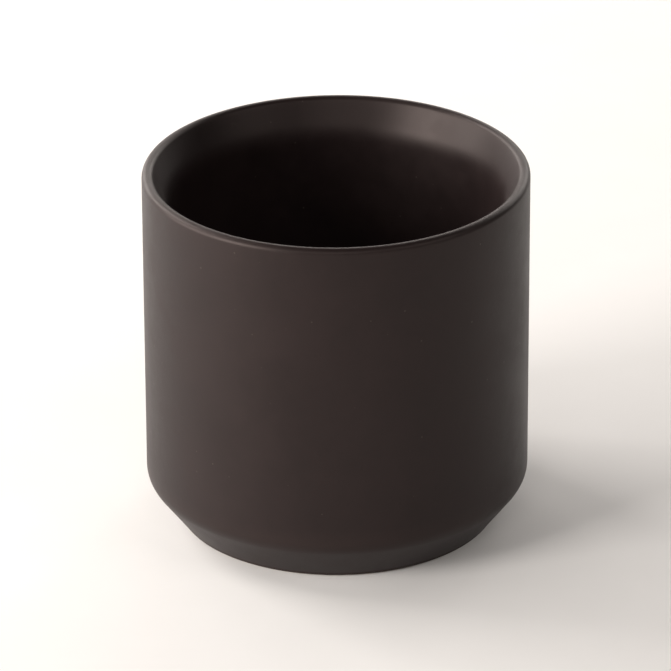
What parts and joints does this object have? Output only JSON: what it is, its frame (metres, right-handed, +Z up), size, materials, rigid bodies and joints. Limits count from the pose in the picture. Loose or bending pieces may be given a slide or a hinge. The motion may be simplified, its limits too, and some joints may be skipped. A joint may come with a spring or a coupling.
{
  "type": "empty candle jar",
  "caption": "Round stoneware candle vessel with a flared lip, straight sides and a chamfered base, open at the top, to be filled with wax.",
  "frame": {"origin": "centre of the base, on the surface that the jar stands on", "axes": "+Z up along the axis of the jar; the jar is round, so X and Y are free"},
  "size_m": [0.08, 0.08, 0.0766],
  "materials": {
    "stoneware": "bare fired buff stoneware, dry and slightly sandy",
    "matte_black_glaze": "satin-matte warm black glaze with fine speckle",
    "black_liner_glaze": "satin warm black liner glaze"
  },
  "bodies": {
    "root": {"clay_body": "stoneware", "outside_glaze": "matte_black_glaze", "inside_glaze": "black_liner_glaze", "base_well_glaze": "matte_black_glaze"}
  },
  "joints": []
}
